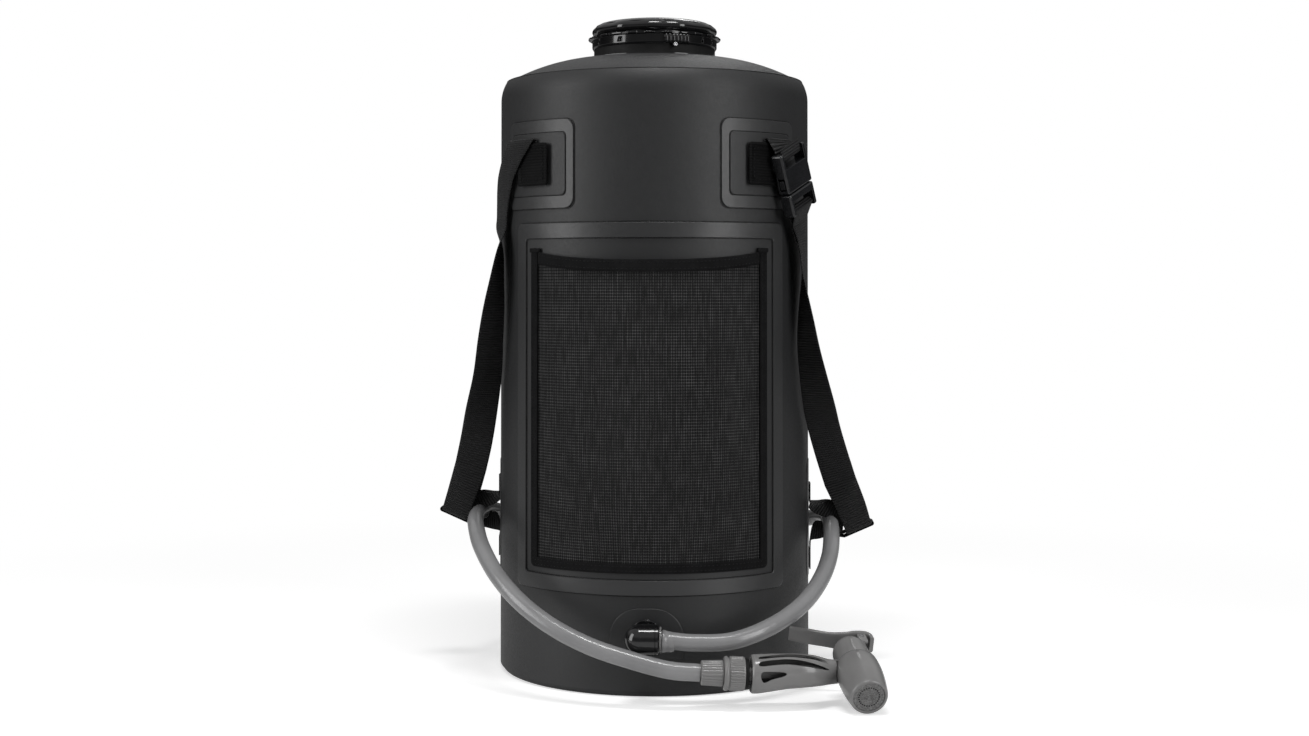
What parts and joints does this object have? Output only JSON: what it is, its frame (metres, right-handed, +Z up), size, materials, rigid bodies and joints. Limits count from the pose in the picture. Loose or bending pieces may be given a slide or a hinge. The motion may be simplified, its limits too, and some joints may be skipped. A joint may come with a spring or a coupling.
{
  "type": "camp shower bag",
  "caption": "Upright round camp shower bag of coated fabric with a wide screw lid, mesh pocket, webbing straps, and a hose led round it to a trigger sprayer",
  "frame": {"origin": "on the tank's axis, on the floor under its base", "axes": "Z up along the tank's axis, -Y towards the front with the mesh pocket and the outlet, +X to the side with the buckle"},
  "size_m": [0.3409, 0.3188, 0.5011],
  "materials": {
    "tank_fabric": "coated black fabric, satin",
    "welded_patch": "coated fabric, lighter and smoother",
    "webbing": "black woven webbing",
    "binding_tape": "black binding tape",
    "mesh": "black knitted mesh",
    "buckle_plastic": "dark grey acetal",
    "black_plastic": "black, glossy",
    "black_rubber": "black",
    "steel": "bright",
    "grey_hose": "smooth light grey, soft vinyl",
    "grey_plastic": "warm mid grey, satin"
  },
  "bodies": {
    "bag": {"anchor_loop_left": "webbing", "anchor_loop_right": "webbing", "bottom_panel": "tank_fabric", "buckle_female": "buckle_plastic", "buckle_male": "buckle_plastic", "collar_clasp": "black_plastic", "collar_ring": "black_plastic", "collar_screw": "steel", "coupling_seal": "black_rubber", "elbow": "black_plastic", "front_panel": "tank_fabric", "hose": "grey_hose", "hose_clip": "grey_plastic", "hose_nut": "grey_plastic", "lever_pin": "steel", "lower_patch_left": "welded_patch", "lower_patch_right": "welded_patch", "neck_spout": "black_plastic", "outlet_bulkhead": "black_plastic", "outlet_gasket": "black_rubber", "outlet_nut": "black_plastic", "outlet_patch": "welded_patch", "panel_border": "welded_patch", "pocket_binding": "binding_tape", "pocket_hem": "binding_tape", "pocket_net": "mesh", "side_wall": "tank_fabric", "spray_cap": "grey_plastic", "spray_plate": "grey_plastic", "sprayer_body": "grey_plastic", "sprayer_tube": "grey_plastic", "strap_keeper_left": "webbing", "strap_keeper_right": "webbing", "strap_left": "webbing", "strap_right": "webbing", "strap_stub_right": "webbing", "top_panel": "tank_fabric", "upper_patch_left": "welded_patch", "upper_patch_right": "welded_patch", "valve_spring": "steel"},
    "seal_lift": {"lid_seal": "black_rubber"},
    "lid": {"lid": "black_plastic"},
    "coupling": {"coupling_sleeve": "grey_plastic"},
    "trigger": {"trigger_lever": "grey_plastic"},
    "plunger": {"valve_plunger": "grey_plastic", "valve_seal": "black_rubber"},
    "arm_front": {"buckle_arm_front": "buckle_plastic"},
    "arm_rear": {"buckle_arm_rear": "buckle_plastic"}
  },
  "joints": [
    {"name": "lid_lift", "type": "slide", "parent": "bag", "child": "seal_lift", "axis": [0, 0, 1], "range_m": [0, 0.06]},
    {"name": "lid_turn", "type": "hinge", "parent": "seal_lift", "child": "lid", "pos_m": [0, 0, 0.495], "axis": [0, 0, 1], "continuous": true},
    {"name": "coupling_turn", "type": "hinge", "parent": "bag", "child": "coupling", "pos_m": [0.05592, -0.15533, 0.02588], "axis": [0.9921, 0.1194, -0.0376], "continuous": true},
    {"name": "trigger_squeeze", "type": "hinge", "parent": "bag", "child": "trigger", "pos_m": [0.15573, -0.10095, 0.03707], "axis": [0.0756, -0.3321, 0.9402], "range_deg": [0, 12], "stiffness_Nm_per_rad": 0.6, "springref_deg": -5.73},
    {"name": "valve_slide", "type": "slide", "parent": "bag", "child": "plunger", "axis": [0.1754, -0.9238, -0.3404], "range_m": [0, 0.0024], "deforming": ["valve_spring"]},
    {"name": "arm_front_squeeze", "type": "hinge", "parent": "bag", "child": "arm_front", "pos_m": [0.10307, -0.07995, 0.36645], "axis": [-0.8192, 0.5736, 0], "range_deg": [0, 10], "stiffness_Nm_per_rad": 0.3},
    {"name": "arm_rear_squeeze", "type": "hinge", "parent": "bag", "child": "arm_rear", "pos_m": [0.11321, -0.06548, 0.37395], "axis": [0.8192, -0.5736, 0], "range_deg": [0, 10], "stiffness_Nm_per_rad": 0.3}
  ],
  "couplings": [
    {"joint": "valve_slide", "follows": "trigger_squeeze", "m_per_rad": 0.0112}
  ]
}
